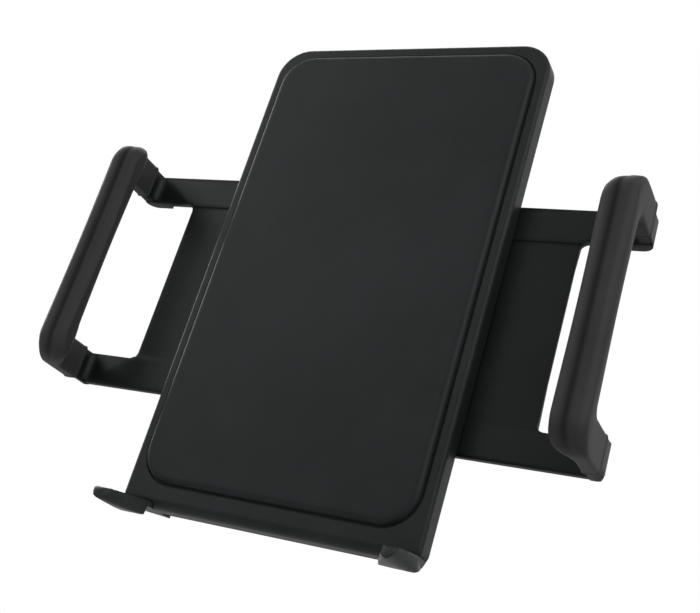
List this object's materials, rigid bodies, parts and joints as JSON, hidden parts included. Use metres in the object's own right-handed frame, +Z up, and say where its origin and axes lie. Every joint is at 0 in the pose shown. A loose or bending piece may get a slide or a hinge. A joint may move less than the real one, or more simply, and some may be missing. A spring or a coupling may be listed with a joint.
{
  "type": "tablet holder",
  "caption": "Car tablet holder: upright padded back plate, a rubber-covered grip loop sliding out at each side, and small feet at the lower corners.",
  "frame": {"origin": "centre of the four-hole mounting pattern on the rear mounting face", "axes": "+X across the plate, to the right as seen from the front; +Y out of the rear mounting face; +Z up along the plate"},
  "size_m": [0.202, 0.0422, 0.1896],
  "materials": {
    "shell_plastic": "fine moulded grain",
    "pad_rubber": "soft matt",
    "cover_plastic": "fine moulded grain",
    "slide_plastic": "satin moulded",
    "grip_rubber": "soft matt",
    "gear_plastic": "moulded",
    "button_plastic": "moulded",
    "foot_plastic": "moulded",
    "steel": "zinc plated",
    "brass": "turned"
  },
  "bodies": {
    "holder": {"front_shell": "shell_plastic", "front_pad": "pad_rubber", "rear_cover": "cover_plastic", "cover_screws": "steel", "mount_plate": "cover_plastic", "mount_inserts": "brass", "plate_screws": "steel", "pinion_washer": "steel", "pinion_screw": "steel", "lock_keeper": "steel", "lock_spring": "steel", "left_foot": "foot_plastic", "right_foot": "foot_plastic", "foot_screws": "steel"},
    "right_arm": {"right_slide": "slide_plastic", "right_grip": "grip_rubber"},
    "left_arm": {"left_slide": "slide_plastic", "left_grip": "grip_rubber"},
    "pinion": {"pinion_gear": "gear_plastic"},
    "lock": {"lock_slider": "gear_plastic", "release_button": "button_plastic"}
  },
  "joints": [
    {"name": "right_arm_slide", "type": "slide", "parent": "holder", "child": "right_arm", "axis": [1, 0, 0], "range_m": [-0.032, 0.008]},
    {"name": "left_arm_slide", "type": "slide", "parent": "holder", "child": "left_arm", "axis": [-1, 0, 0], "range_m": [-0.0321, 0.0081]},
    {"name": "pinion_spin", "type": "hinge", "parent": "holder", "child": "pinion", "pos_m": [0, -0.0101, 0], "axis": [0, 1, 0], "range_deg": [-46.5, 184]},
    {"name": "lock_release", "type": "slide", "parent": "holder", "child": "lock", "axis": [0, 0, 1], "range_m": [-0.002, 0.0009], "stiffness_N_per_m": 400, "springref_m": 0.0025, "deforming": ["lock_spring"]}
  ],
  "couplings": [
    {"joint": "left_arm_slide", "follows": "right_arm_slide", "ratio": 1},
    {"joint": "pinion_spin", "follows": "right_arm_slide", "rad_per_m": -100}
  ]
}
